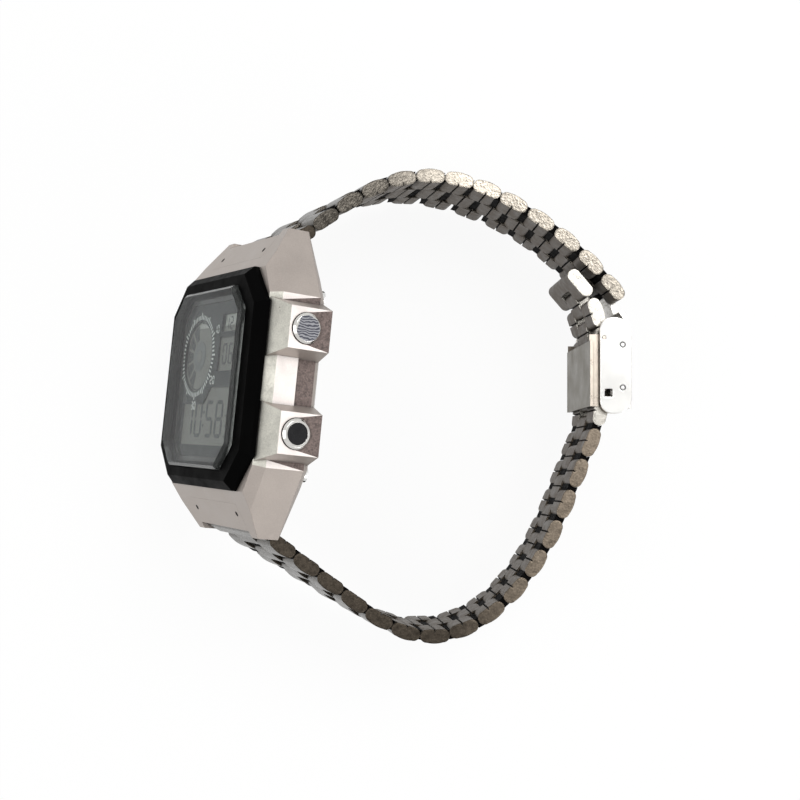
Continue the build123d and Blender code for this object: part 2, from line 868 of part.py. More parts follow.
for row in range(len(tail_headings)):
    links = link_row(lower_pins, len(lower_headings) + clamped_row_count + row)
    row_name = f"tail_links_{row + 1}"
    links.part.label = row_name
    export_step(links.part, f"parts/{row_name}.step")


# End links
def end_plane(y, pin, flip=1):
    """The plane of an end link, square to its spring bar, from the bar toward a pin."""
    origin = sheet_point(0, y)
    along = sheet_point(*pin) - origin
    along = along - three_oclock * along.dot(three_oclock)
    return Plane(origin=origin, x_dir=along.normalized(), z_dir=three_oclock * flip)


def end_section(plane, reach, tube_radius, bore_radius):
    """The full-width part of an end link, a tube with a short plate toward the first row."""
    plate_end = reach - link_radius - end_row_gap
    with BuildSketch(plane) as section:
        with BuildLine():
            ThreePointArc((0, tube_radius), (-tube_radius, 0), (0, -tube_radius))
            Polyline(
                (0, -tube_radius), (plate_end, -link_radius), (plate_end, link_radius), (0, tube_radius)
            )
        make_face()
        if bore_radius:
            Circle(bore_radius, mode=Mode.SUBTRACT)
    return section.sketch


def tongue_section(plane, reach, bore_radius, end_bore_radius):
    """The part of an end link that reaches the pin of the first row, with its rolled end."""
    with BuildSketch(plane) as section:
        with Locations((reach * half, 0)):
            SlotCenterToCenter(reach, link_thickness)
        if bore_radius:
            Circle(bore_radius, mode=Mode.SUBTRACT)
        if end_bore_radius:
            with Locations((reach, 0)):
                Circle(end_bore_radius, mode=Mode.SUBTRACT)
    return section.sketch


bar_bore_radius = bar_diameter * half + bar_gap
end_tube_radius = end_tube_diameter * half
band_half = band_width * half

# The 6 o'clock end link carries a centre tongue
lower_end_plane = end_plane(-bar_y, lower_pins[0])
tongue_half = outer_start - end_column_gap
end_pin_bore_radius = pin_radius + end_pin_gap
with BuildPart() as end_link_6:
    extrude(
        to_extrude=end_section(
            lower_end_plane.offset(-band_half), end_reach, end_tube_radius, bar_bore_radius
        ),
        amount=band_width,
    )
    extrude(
        to_extrude=tongue_section(
            lower_end_plane.offset(-tongue_half), end_reach, bar_bore_radius, end_pin_bore_radius
        ),
        amount=2 * tongue_half,
    )
end_link_6.part.label = "end_link_6"
export_step(end_link_6.part, "parts/end_link_6.step")


def tabbed_end(plane, reach, tube_radius, bore_radius, tab_start, pinned):
    """An end link with two tabs, and the pin that the last centre link turns on if it is pinned."""
    with BuildPart() as end_link:
        extrude(
            to_extrude=end_section(plane.offset(-band_half), reach, tube_radius, bore_radius),
            amount=band_width,
        )
        for side in (-1, 1):
            extrude(
                to_extrude=tongue_section(plane.offset(side * tab_start), reach, bore_radius, 0),
                amount=side * (band_half - tab_start),
            )
        if pinned:
            pin_plane = Plane(
                origin=plane.from_local_coords(Vector(reach, 0, -pin_reach)),
                x_dir=plane.x_dir,
                z_dir=plane.z_dir,
            )
            extrude(to_extrude=round_section(pin_plane, pin_radius), amount=2 * pin_reach)
    return end_link


# The 12 o'clock end link is the bracelet's open pivot: its pin stays in the last centre link
end_link_12 = tabbed_end(
    end_plane(bar_y, upper_pins[-1], flip=-1),
    end_reach,
    end_tube_radius,
    bar_bore_radius,
    centre_half + open_column_gap,
    False,
)
end_link_12.part.label = "end_link_12"
export_step(end_link_12.part, "parts/end_link_12.step")

tail_pin = lower_pins[-1]
tail_tip = step_from(tail_pin, tail_end_heading, tail_end_reach)
tail_end = tabbed_end(
    link_plane(tail_tip, tail_pin, tail_pin[0], flip=-1), tail_end_reach, link_radius, 0, outer_start, True
)
tail_end.part.label = "tail_end"
export_step(tail_end.part, "parts/tail_end.step")

# Clasp frame, with x along the band and y outward
clasp = link_plane(clasp_origin, clasp_place(clasp_length, 0), clasp_origin[0], flip=-1)
wall_inner = band_half + wall_gap
wall_outer = wall_inner + wall_thickness
blade_pin_radius = blade_pin_diameter * half
blade_bore_radius = blade_pin_radius + blade_pin_gap
knuckle_radius = blade_knuckle_diameter * half
knuckle_place = blade_pivot_place - blade_length


def wall_section(plane):
    """The side wall of the clasp, with its lock hole, its pin holes and the locking plate's pivot hole."""
    low = clasp_start
    high = clasp_start + clasp_length
    with BuildSketch(plane) as section:
        with BuildLine():
            Polyline(
                (low, -wall_inner_drop), (high, -wall_inner_drop),
                (high, wall_outer_rise), (low, wall_outer_rise),
                close=True,
            )
        make_face()
        fillet(section.vertices().group_by(Axis.Y)[0], radius=clasp_inner_corner)
        fillet(section.vertices().group_by(Axis.Y)[-1], radius=clasp_outer_corner)
        with Locations((lock_hole_place, lock_hole_rise)):
            Rectangle(lock_hole_size, lock_hole_size, mode=Mode.SUBTRACT)
        with Locations((blade_pivot_place, blade_rise), (catch_pin_place, blade_rise)):
            Circle(blade_pin_radius, mode=Mode.SUBTRACT)
        with Locations((plate_pivot_place, plate_pivot_rise)):
            Circle(plate_pivot_diameter * half + bar_gap, mode=Mode.SUBTRACT)
    return section.sketch


def strip_section(plane, start, end, low, high):
    """A rectangle on the clasp frame, from one place along the band to the other."""
    with BuildSketch(plane) as section:
        with Locations(((start + end) * half, (low + high) * half)):
            Rectangle(end - start, high - low)
    return section.sketch


def bored_section(plane, place, rise, radius, bore_radius):
    """A rolled knuckle on the clasp frame."""
    with BuildSketch(plane) as section:
        with Locations((place, rise)):
            Circle(radius)
            if bore_radius:
                Circle(bore_radius, mode=Mode.SUBTRACT)
    return section.sketch


with BuildPart() as clasp_body:
    for side in (-1, 1):
        extrude(to_extrude=wall_section(clasp.offset(side * wall_inner)), amount=side * wall_thickness)
    extrude(
        to_extrude=strip_section(
            clasp.offset(-wall_inner),
            clasp_start + floor_inset,
            clasp_start + clasp_length - floor_inset,
            floor_rise,
            floor_rise + floor_thickness,
        ),
        amount=2 * wall_inner,
    )
clasp_body.part.label = "clasp_body"
export_step(clasp_body.part, "parts/clasp_body.step")

# Blade pin across the body, and a short catch pin in each wall
with BuildPart() as clasp_pins:
    extrude(
        to_extrude=bored_section(
            clasp.offset(-wall_outer), blade_pivot_place, blade_rise, blade_pin_radius, 0
        ),
        amount=2 * wall_outer,
    )
    for side in (-1, 1):
        extrude(
            to_extrude=bored_section(
                clasp.offset(side * wall_outer), catch_pin_place, blade_rise, blade_pin_radius, 0
            ),
            amount=-side * (wall_thickness + catch_pin_reach),
        )
clasp_pins.part.label = "clasp_pins"
export_step(clasp_pins.part, "parts/clasp_pins.step")

# Blade between its two knuckles
blade_half = blade_width * half
with BuildPart() as clasp_blade:
    extrude(
        to_extrude=strip_section(
            clasp.offset(-blade_half),
            knuckle_place,
            blade_pivot_place,
            blade_rise - blade_thickness * half,
            blade_rise + blade_thickness * half,
        ),
        amount=blade_width,
    )
    for place in (knuckle_place, blade_pivot_place):
        extrude(
            to_extrude=bored_section(clasp.offset(-blade_half), place, blade_rise, knuckle_radius, 0),
            amount=blade_width,
        )
    for place in (knuckle_place, blade_pivot_place):
        extrude(
            to_extrude=bored_section(clasp.offset(-blade_half), place, blade_rise, blade_bore_radius, 0),
            amount=blade_width,
            mode=Mode.SUBTRACT,
        )
clasp_blade.part.label = "clasp_blade"
export_step(clasp_blade.part, "parts/clasp_blade.step")

# Cover over the blade, with its ears, its pin and the tongue that the upper band hangs on
cover_half = cover_width * half
with BuildPart() as clasp_cover:
    with BuildSketch(clasp.offset(-cover_half)):
        with BuildLine() as cover_line:
            Line((cover_start, cover_rise), (cover_bend_place, cover_rise))
            ThreePointArc(
                (cover_bend_place, cover_rise),
                (cover_arc_place, cover_arc_rise),
                (cover_edge_place, cover_edge_rise),
            )
        trace(cover_line.line, cover_thickness)
    extrude(amount=cover_width)
    with BuildSketch(clasp.offset(-centre_half)):
        with BuildLine() as tongue_line:
            Line((cover_arc_place, cover_arc_rise), (cover_tip_place, cover_tip_rise))
        trace(tongue_line.line, cover_tongue_thickness)
        with Locations((cover_tip_place, cover_tip_rise)):
            Circle(link_radius)
            Circle(pin_bore_radius, mode=Mode.SUBTRACT)
    extrude(amount=centre_link_width)
    for side in (-1, 1):
        with BuildSketch(clasp.offset(side * cover_half)):
            with Locations((knuckle_place, blade_rise)):
                Circle(knuckle_radius)
            with Locations((knuckle_place, (blade_rise + cover_rise) * half)):
                Rectangle(blade_knuckle_diameter, cover_rise - blade_rise)
        extrude(amount=-side * cover_ear_width)
    extrude(
        to_extrude=bored_section(clasp.offset(-cover_half), knuckle_place, blade_rise, blade_pin_radius, 0),
        amount=cover_width,
    )
clasp_cover.part.label = "clasp_cover"
export_step(clasp_cover.part, "parts/clasp_cover.step")

# Locking plate on the wrist side, with its side flanges, pivots and the nib that enters the links
flange_outer = wall_inner - side_play
plate_half = wall_outer - side_play
plate_low = -plate_drop - plate_thickness * half
plate_high = -plate_drop + plate_thickness * half
nib_place = band_pitch + link_radius
with BuildPart() as locking_plate:
    extrude(
        to_extrude=strip_section(
            clasp.offset(-plate_half),
            plate_start,
            plate_pivot_place - plate_pivot_step,
            plate_low,
            plate_high,
        ),
        amount=2 * plate_half,
    )
    for side in (-1, 1):
        flange_plane = clasp.offset(side * flange_outer)
        extrude(
            to_extrude=strip_section(
                flange_plane, plate_start, plate_pivot_place, plate_low, plate_low + plate_flange_height
            ),
            amount=-side * plate_flange_thickness,
        )
        extrude(
            to_extrude=bored_section(
                flange_plane, plate_pivot_place, plate_pivot_rise, plate_ear_radius, 0
            ),
            amount=-side * plate_flange_thickness,
        )
        extrude(
            to_extrude=strip_section(
                flange_plane,
                plate_pivot_place - plate_ear_radius,
                plate_pivot_place + plate_ear_radius,
                plate_low,
                plate_pivot_rise,
            ),
            amount=-side * plate_flange_thickness,
        )
        extrude(
            to_extrude=bored_section(
                clasp.offset(side * wall_outer),
                plate_pivot_place,
                plate_pivot_rise,
                plate_pivot_diameter * half,
                0,
            ),
            amount=side * (flange_outer - plate_flange_thickness - wall_outer),
        )
    extrude(
        to_extrude=strip_section(
            clasp.offset(-centre_half),
            nib_place - plate_nib_width * half,
            nib_place + plate_nib_width * half,
            plate_high,
            plate_high + plate_nib_height,
        ),
        amount=centre_link_width,
    )
locking_plate.part.label = "locking_plate"
export_step(locking_plate.part, "parts/locking_plate.step")
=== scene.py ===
# %% [markdown]
# # A digital watch with a folded-link bracelet
# The watch lies on its 9 o'clock side with the bracelet closed, and we look down on its 3 o'clock side.
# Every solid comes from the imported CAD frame, so this lesson doesn't build the watch again. It gives each
# solid its finish, adds the fine things that a solid doesn't carry, such as the display's digits and
# ticks, and sets up the floor, the lamps and the camera.

# %% Load the frame
import math

import bmesh
import bpy
from mathutils import Matrix, Vector
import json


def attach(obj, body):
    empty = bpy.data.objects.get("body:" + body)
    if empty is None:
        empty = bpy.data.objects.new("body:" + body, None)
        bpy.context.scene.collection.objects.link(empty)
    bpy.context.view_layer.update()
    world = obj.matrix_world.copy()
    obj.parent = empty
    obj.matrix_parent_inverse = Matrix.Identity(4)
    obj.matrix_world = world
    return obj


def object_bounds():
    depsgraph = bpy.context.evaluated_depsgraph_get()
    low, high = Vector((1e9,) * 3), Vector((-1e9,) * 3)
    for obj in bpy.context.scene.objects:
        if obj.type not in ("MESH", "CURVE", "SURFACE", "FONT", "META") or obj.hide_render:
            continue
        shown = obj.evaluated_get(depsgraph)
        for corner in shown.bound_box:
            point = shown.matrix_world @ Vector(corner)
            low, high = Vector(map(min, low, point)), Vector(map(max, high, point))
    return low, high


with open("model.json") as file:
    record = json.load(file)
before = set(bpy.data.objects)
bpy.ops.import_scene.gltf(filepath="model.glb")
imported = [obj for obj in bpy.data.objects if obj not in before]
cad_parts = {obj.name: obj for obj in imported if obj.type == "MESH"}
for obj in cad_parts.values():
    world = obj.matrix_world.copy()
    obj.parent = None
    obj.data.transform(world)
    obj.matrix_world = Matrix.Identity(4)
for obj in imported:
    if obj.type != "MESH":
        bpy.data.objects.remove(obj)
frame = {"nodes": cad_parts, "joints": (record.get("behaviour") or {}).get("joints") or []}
cad_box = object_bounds()
nodes = frame["nodes"]
joints = {joint["name"]: joint for joint in frame["joints"]}

# %% [markdown]
# ## The head's own directions
# The head leans back a little, so its front isn't square to any axis of the scene. The push buttons slide
# straight in from the side, and the record says along which axis. That axis gives us the direction to
# 3 o'clock, and the direction out of the dial is square to it. With these two, a place on the dial can be
# written as a watchmaker would: so many millimetres to 3 o'clock, to 12 o'clock and out of the dial.

# %% Directions and places on the head
MM = 0.001
three_oclock = -Vector(joints["upper_right_push"]["axis"]).normalized()
twelve_oclock = Vector((0, 1, 0))
dial_out = three_oclock.cross(twelve_oclock)


def head_point(x, y, z):
    """A place on the head in metres, from millimetres to 3 o'clock, to 12 o'clock and out of the dial."""
    return (three_oclock * x + twelve_oclock * y + dial_out * z) * MM


def head_place(point):
    """The millimetres to 3 o'clock, to 12 o'clock and out of the dial of a place in metres."""
    return tuple(point.dot(way) / MM for way in (three_oclock, twelve_oclock, dial_out))


print("to 3 o'clock", three_oclock, "out of the dial", dial_out)

# %% [markdown]
# ## A finish that isn't one flat colour
# Real metal and plastic are never one even colour. Cast and brushed parts have a fine grain, and the gloss
# changes from place to place where fingers and sleeves have rubbed. One helper builds all of that: a slow
# noise mottles the colour and the gloss, a fine noise is the grain that the bump shows, and ambient occlusion
# paints shade into the colour of the crevices. Noise made from the object's own coordinates stays on the part
# when the part moves.


# %% Helper for colours and node trees
def tint(red, green, blue):
    """A colour of a paint chart, from 0 to 255, as the linear colour that shaders want."""
    parts = []
    for value in (red, green, blue):
        share = value / 255
        parts.append(share / 12.92 if share <= 0.04045 else ((share + 0.055) / 1.055) ** 2.4)
    return (*parts, 1.0)


def shaded(colour, share):
    """The same colour, lighter or darker by a share."""
    return (*(min(1.0, part * share) for part in colour[:3]), 1.0)


def add_node(material, kind, **values):
    """A node of that kind in the material; each value names an input or an attribute."""
    node = material.node_tree.nodes.new("ShaderNode" + kind)
    for name, value in values.items():
        if name in node.inputs:
            node.inputs[name].default_value = value
        else:
            setattr(node, name, value)
    return node


def join(material, source, target):
    """A wire from one socket to another."""
    material.node_tree.links.new(source, target)


# %% Helper for a finish
def finish(name, colour, metallic=0.0, roughness=0.4, mottle=0.12, patch=4.0, grain=0.2, bump=0.02,
           stretch=(1, 1, 1), edge=0.0, crevice=0.0, **sockets):
    """A material whose colour and gloss change over patches, with a fine grain; sizes in millimetres."""
    material = bpy.data.materials.new(name)
    material.use_nodes = True
    shader = material.node_tree.nodes["Principled BSDF"]
    shader.inputs["Metallic"].default_value = metallic
    for socket, value in sockets.items():
        shader.inputs[socket.replace("_", " ")].default_value = value
    place = add_node(material, "TexCoord").outputs["Object"]
    spread = add_node(material, "Mapping", Scale=tuple(1 / (grain * MM) * way for way in stretch))
    join(material, place, spread.inputs["Vector"])
    slow = add_node(material, "TexNoise", Scale=1 / (patch * MM), Detail=3.0, Roughness=0.6)
    join(material, place, slow.inputs["Vector"])
    fine = add_node(material, "TexNoise", Scale=1.0, Detail=2.0, Roughness=0.55)
    join(material, spread.outputs["Vector"], fine.inputs["Vector"])
    both = add_node(material, "Math", operation="ADD")
    join(material, slow.outputs["Fac"], both.inputs[0])
    join(material, fine.outputs["Fac"], both.inputs[1])
    mottled = add_node(material, "ValToRGB")
    mottled.color_ramp.elements[0].position = 0.35
    mottled.color_ramp.elements[0].color = shaded(colour, 1 - mottle)
    mottled.color_ramp.elements[1].position = 0.65
    mottled.color_ramp.elements[1].color = shaded(colour, 1 + mottle)
    halved = add_node(material, "Math", operation="MULTIPLY")
    halved.inputs[1].default_value = 0.5
    join(material, both.outputs[0], halved.inputs[0])
    join(material, halved.outputs[0], mottled.inputs["Fac"])
    shown = mottled.outputs["Color"]
    # Painted shade: ambient occlusion darkens the colour in gaps and corners, where less light reaches.
    if crevice:
        near = add_node(material, "AmbientOcclusion", Distance=crevice * MM, samples=6)
        sharper = add_node(material, "MapRange")
        for socket, value in {"From Min": 0.3, "From Max": 0.85, "To Min": 0.12, "To Max": 1.0}.items():
            sharper.inputs[socket].default_value = value
        crevice_shade = add_node(material, "MixRGB", blend_type="MULTIPLY", Fac=1.0)
        join(material, near.outputs["AO"], sharper.inputs["Value"])
        join(material, shown, crevice_shade.inputs["Color1"])
        join(material, sharper.outputs["Result"], crevice_shade.inputs["Color2"])
        shown = crevice_shade.outputs["Color"]
    join(material, shown, shader.inputs["Base Color"])
    gloss = add_node(material, "MapRange")
    gloss.inputs["From Min"].default_value = 0.3
    gloss.inputs["From Max"].default_value = 0.7
    gloss.inputs["To Min"].default_value = roughness * 0.8
    gloss.inputs["To Max"].default_value = min(1.0, roughness * 1.25)
    join(material, slow.outputs["Fac"], gloss.inputs["Value"])
    join(material, gloss.outputs["Result"], shader.inputs["Roughness"])
    relief = add_node(material, "Bump", Strength=1.0, Distance=bump * MM)
    join(material, fine.outputs["Fac"], relief.inputs["Height"])
    if edge:
        rounded = add_node(material, "Bevel", Radius=edge * MM, samples=4)
        join(material, rounded.outputs["Normal"], relief.inputs["Normal"])
    join(material, relief.outputs["Normal"], shader.inputs["Normal"])
    return material


def wear(node_name, *finishes, pick=None):
    """Puts finishes on a CAD solid; pick gives the number of the finish for a face's middle and normal."""
    solid = nodes[node_name]
    solid.data.materials.clear()
    for material in finishes:
        solid.data.materials.append(material)
    for face in solid.data.polygons:
        face.material_index = pick(face.center, face.normal) if pick else 0
    print(node_name, "wears", ", ".join(material.name for material in finishes))


# %% [markdown]
# ## Case
# The case of such a watch is moulded in resin and coated with a satin metal paint. Fine flakes in the
# paint give it a warm grey grain. The flank faces that look at the lamp wear a near-white copy of that paint,
# a painted highlight. The front facets of the button guards have a touch of green. A darker, coarser strip
# runs along the flank near the back, where the mould was left rough. One solid can wear several finishes,
# each on its own faces, so we choose by where a face lies and which way it looks.

# %% Case finishes
flank_strip_top = 4.6
case_satin = finish("case_satin", tint(165, 156, 149), 0.55, 0.42, mottle=0.08, patch=6, grain=0.16,
                    bump=0.012, edge=0.14, crevice=1.0)
case_guard_front = finish("case_guard_front", tint(192, 190, 180), 0.55, 0.34, mottle=0.2, patch=2.2,
                          grain=0.2, bump=0.018, edge=0.14, crevice=0.8)
# Painted highlight: the case paint made near white for the flank faces that look at the lamp.
case_flank_painted_highlight = finish("case_flank_painted_highlight", tint(232, 224, 219), 0.5, 0.38, mottle=0.06, patch=3,
                           grain=0.18, bump=0.012, edge=0.12, crevice=0.8)
case_strip_rough = finish("case_strip_rough", tint(100, 88, 84), 0.6, 0.5, mottle=0.5, patch=0.6,
                          grain=0.24, bump=0.06, crevice=0.6)
case_pocket_dark = finish("case_pocket_dark", tint(60, 58, 56), 0.1, 0.55, mottle=0.15)
pocket_half_width, pocket_half_length, pocket_top = 14.4, 14.2, 9.4
strip_reach_y, guard_reach_y, flank_start_x = 12.4, 12.0, 16


def case_finish_number(middle, normal):
    """Which case finish a face wears."""
    x, y, z = head_place(middle)
    out_x, out_z = (normal.dot(way) for way in (three_oclock, dial_out))
    if abs(x) < pocket_half_width and abs(y) < pocket_half_length and z < pocket_top:
        return 4
    if abs(out_x) > 0.9 and z < flank_strip_top and abs(y) < strip_reach_y and abs(x) > flank_start_x:
        return 3
    if out_z > 0.25 and abs(out_x) > 0.2 and abs(y) < guard_reach_y:
        return 1
    # Flank faces that look at the lamp wear the painted highlight.
    if abs(out_x) > 0.8 and abs(y) < guard_reach_y:
        return 2
    return 0


wear("case_body", case_satin, case_guard_front, case_flank_painted_highlight, case_strip_rough, case_pocket_dark,
     pick=case_finish_number)

# %% [markdown]
# ## Bezel, crystal and what seals it
# The bezel is a black ring with wide bevels, with the low sheen of painted or anodised metal. The crystal
# is clear, its top edge is cut to a chamfer, and a cut edge on clear plastic catches light along its whole
# length. So the chamfer and the rim wear a frosted finish while the top stays clear.

# %% Bezel and crystal finishes
bezel_black = finish("bezel_black", tint(3, 3, 3), 0.0, 0.46, mottle=0.2, patch=3, grain=0.12,
                     bump=0.006, edge=0.2, Specular_IOR_Level=0.012)
crystal_clear = finish("crystal_clear", tint(235, 240, 240), 0.0, 0.012, mottle=0.02, patch=9, grain=3,
                       bump=0.0002, Transmission_Weight=1.0, IOR=1.15)
crystal_edge = finish("crystal_edge", tint(120, 123, 121), 0.0, 0.12, mottle=0.35, patch=0.8, grain=0.3,
                      bump=0.008, Transmission_Weight=0.85, IOR=1.22)
seal_rubber = finish("seal_rubber", tint(28, 28, 28), 0.0, 0.6, mottle=0.2, patch=1.5)
wear("bezel", bezel_black)
wear("crystal", crystal_clear, crystal_edge,
     pick=lambda middle, normal: 0 if abs(normal.dot(dial_out)) > 0.95 else 1)
wear("crystal_gasket", seal_rubber)
wear("case_back_gasket", seal_rubber)

# %% [markdown]
# ## Display
# Under the crystal lies a printed mask with windows, and under that the liquid crystal panel. The mask is
# a nearly black print and the panel is a dull grey, the colour of a reflective panel with no light behind
# it. Both are darker than they look in the picture, because the crystal mirrors the pale room over them.

# %% Display finishes
mask_print = finish("mask_print", tint(24, 25, 24), 0.0, 0.5, mottle=0.1, patch=2.0, grain=0.1, bump=0.004,
                    Specular_IOR_Level=0.2)
panel_grey = finish("panel_grey", tint(98, 96, 89), 0.0, 0.35, mottle=0.05, patch=5, grain=0.15,
                    bump=0.002, Specular_IOR_Level=0.2)
guide_clear = finish("guide_clear", tint(214, 214, 204), 0.0, 0.2, mottle=0.05, Transmission_Weight=0.4)
wear("display_mask", mask_print)
wear("lcd_panel", panel_grey)
wear("light_guide", guide_clear)

# %% [markdown]
# ## Digits of the display
# A digit of a liquid crystal panel is made of seven bars. The plate helper below turns flat outlines on the
# dial into thin plates, and the digit helper chooses which of the seven bars are on. Thin real plates
# keep their crisp outline from every side, and they throw the faint shadow on the panel that a real digit
# throws on the mirror behind it.


# %% Helper for thin plates
def thin_plates(name, outlines, height, thickness, material, place=head_point, body="case"):
    """Thin plates from outlines in millimetres; place turns x, y and a height into a point in metres."""
    mesh = bpy.data.meshes.new(name)
    solid = bmesh.new()
    for outline in outlines:
        low = [solid.verts.new(place(x, y, height)) for x, y in outline]
        high = [solid.verts.new(place(x, y, height + thickness)) for x, y in outline]
        solid.faces.new(high)
        solid.faces.new(low[::-1])
        count = len(outline)
        for i in range(count):
            j = (i + 1) % count
            solid.faces.new((low[i], low[j], high[j], high[i]))
    bmesh.ops.recalc_face_normals(solid, faces=solid.faces)
    solid.to_mesh(mesh)
    solid.free()
    piece = bpy.data.objects.new(name, mesh)
    bpy.context.scene.collection.objects.link(piece)
    mesh.materials.append(material)
    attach(piece, body)
    print(name, "has", len(outlines), "plates")
    return piece


# %% Helper for seven-bar digits
BARS_ON = {
    "0": "abcdef", "1": "bc", "2": "abged", "3": "abgcd", "4": "fgbc",
    "5": "afgcd", "6": "afgedc", "7": "abc", "8": "abcdefg", "9": "abfgcd",
}


def bar_outline(start, end, breadth):
    """A bar with pointed ends from one place to the other."""
    along = Vector((end[0] - start[0], end[1] - start[1])).normalized()
    side = Vector((-along[1], along[0])) * breadth / 2
    tip = along * breadth / 2
    start = Vector(start) + tip * 0.3
    end = Vector(end) - tip * 0.3
    ring = [start, start + tip + side, end - tip + side, end, end - tip - side, start + tip - side]
    return [(point[0], point[1]) for point in ring]


def digit_outlines(text, left, low, width, height, breadth, pitch):
    """The outlines of the bars of some digits, from the lower left corner of the first."""
    outlines = []
    for place, letter in enumerate(text):
        x0 = left + place * pitch
        x1 = x0 + width
        middle = low + height / 2
        high = low + height
        bars = {
            "a": ((x0, high), (x1, high)), "g": ((x0, middle), (x1, middle)), "d": ((x0, low), (x1, low)),
            "f": ((x0, middle), (x0, high)), "b": ((x1, middle), (x1, high)),
            "e": ((x0, low), (x0, middle)), "c": ((x1, low), (x1, middle)),
        }
        for bar in BARS_ON.get(letter, ""):
            outlines.append(bar_outline(*bars[bar], breadth))
    return outlines


def disc_outline(x, y, radius, steps=40):
    """A round outline."""
    turns = [2 * math.pi * step / steps for step in range(steps)]
    return [(x + radius * math.cos(turn), y + radius * math.sin(turn)) for turn in turns]


# %% [markdown]
# The numbers are plain ones: an hour, minutes and seconds in the large window, and a date above. They
# stand in for whatever a running watch would show. The bars are darker than the panel, but not black: the
# photograph looks at it from low down, where a liquid crystal panel fades. One row of the table below is one
# group of digits: the digits, their left and low edge, then the width, height, breadth and pitch of a digit.

# %% Digits in the windows
panel_top = 9.2
mask_top = 9.5
dial_x, dial_y = -5.47, 3.68
digit_dark = finish("digit_dark", tint(38, 39, 37), 0.0, 0.4, mottle=0.1, patch=1.5, grain=0.1, bump=0.002,
                    Specular_IOR_Level=0.2)
bar_thickness = 0.03
digit_groups = (("10", -8.4, -8.4, 2.3, 5.0, 0.6, 3.7), ("58", -0.4, -8.4, 2.3, 5.0, 0.6, 3.7),
                ("36", 6.7, -8.4, 1.2, 3.0, 0.4, 2.0), ("06", 3.6, 2.3, 1.3, 2.8, 0.36, 2.2),
                ("30", 7.9, 2.3, 0.9, 2.0, 0.3, 1.5), ("12", 3.9, 7.4, 0.8, 1.7, 0.26, 1.5),
                ("24", 7.4, 7.4, 0.8, 1.7, 0.26, 1.5))
colon_x, colon_heights, colon_radius, colon_steps = -1.45, (-6.9, -4.9), 0.28, 12
bars = [outline for group in digit_groups for outline in digit_outlines(*group)]
bars += [disc_outline(colon_x, y, colon_radius, colon_steps) for y in colon_heights]
thin_plates("display_digits", bars, panel_top, bar_thickness, digit_dark)

# %% [markdown]
# ## The round window
# The round window shows the seconds as a ring of small wedges round a plain hub. Sixty ticks are printed on
# the mask round it, with those of the numbers 10 to 60 that fall on the mask. A tick is a thin plate that
# points at the middle, and every fifth one is longer.


# %% Round window, ticks and its numbers
def spoke(turn, inner, outer, inner_width, outer_width):
    """A four-cornered outline that points at the middle of the round window."""
    out = (math.sin(turn), math.cos(turn))
    side = (math.cos(turn), -math.sin(turn))
    corners = ((inner, -inner_width), (outer, -outer_width), (outer, outer_width), (inner, inner_width))
    return [
        (dial_x + out[0] * r + side[0] * w / 2, dial_y + out[1] * r + side[1] * w / 2) for r, w in corners
    ]


print_light = finish("print_light", tint(186, 188, 182), 0.0, 0.5, mottle=0.08, patch=1.5, grain=0.1,
                     bump=0.002)
full_turn = 2 * math.pi
tick_start, short_tick_end, long_tick_end, tick_thickness = 5.6, 6.3, 6.7, 0.02
number_radius, number_half_width, number_half_height = 7.6, 0.7, 0.55
mask_reach_x, mask_reach_y = 11.4, 10.2
ticks = []
for second in range(60):
    tick_end = short_tick_end if second % 5 else long_tick_end
    ticks.append(spoke(full_turn * second / 60, tick_start, tick_end, 0.26, 0.3))
for number in range(1, 7):
    turn = full_turn * number / 6
    number_x = dial_x + number_radius * math.sin(turn) - number_half_width
    number_y = dial_y + number_radius * math.cos(turn) - number_half_height
    if abs(number_y) < mask_reach_y and number_x > -mask_reach_x:
        ticks += digit_outlines(f"{number}0", number_x, number_y, 0.55, 1.1, 0.2, 0.95)
thin_plates("dial_ticks", ticks, mask_top, tick_thickness, print_light)
wedges = [spoke(full_turn * wedge / 12, 2.7, 4.9, 1.0, 2.1) for wedge in range(7, 12)]
wedges += [spoke(full_turn * mark / 60, 5.0, 5.25, 0.36, 0.36) for mark in range(36)]
thin_plates("dial_wedges", wedges, panel_top, bar_thickness, digit_dark)
hub_grey = finish("hub_grey", tint(70, 72, 70), 0.0, 0.4, mottle=0.08, patch=1.5, grain=0.12, bump=0.003)
hub_radius, hub_thickness, eye_radius, eye_thickness = 2.3, 0.05, 0.9, 0.04
thin_plates("dial_hub", [disc_outline(dial_x, dial_y, hub_radius)], panel_top, hub_thickness, hub_grey)
thin_plates("dial_hub_eye", [disc_outline(dial_x, dial_y, eye_radius)], panel_top + hub_thickness,
            eye_thickness, panel_grey)

# %% [markdown]
# ## Lug panels and pits
# Seen from the front, each sloped lug face runs on over the notch and hides the spring bar, down to a small
# step where the end link comes out. A thin panel in the plane of the face does that. Two small pits lie in
# each face, each shown as a near-black disc of painted shade for its hollow. A place on the slope is written
# like one on the dial, with the height measured square to the face, so the same plate helper makes both.

# %% Lug panels and pits
lug_start, lug_start_height = 16.0, 9.6
lug_end, lug_end_height = 22.5, 5.3
panel_start, panel_end, panel_half_width = 17.85, 21.6, 9.24
slope = math.atan2(lug_start_height - lug_end_height, lug_end - lug_start)


def lug_place(end):
    """The place helper of one lug face: 1 for 12 o'clock, -1 for 6 o'clock."""
    def place(x, y, height):
        """A point in metres, from x and y on the dial and a height square to the face."""
        z = lug_start_height - (y - lug_start) * math.tan(slope)
        return head_point(x, end * (y + height * math.sin(slope)), z + height * math.cos(slope))
    return place
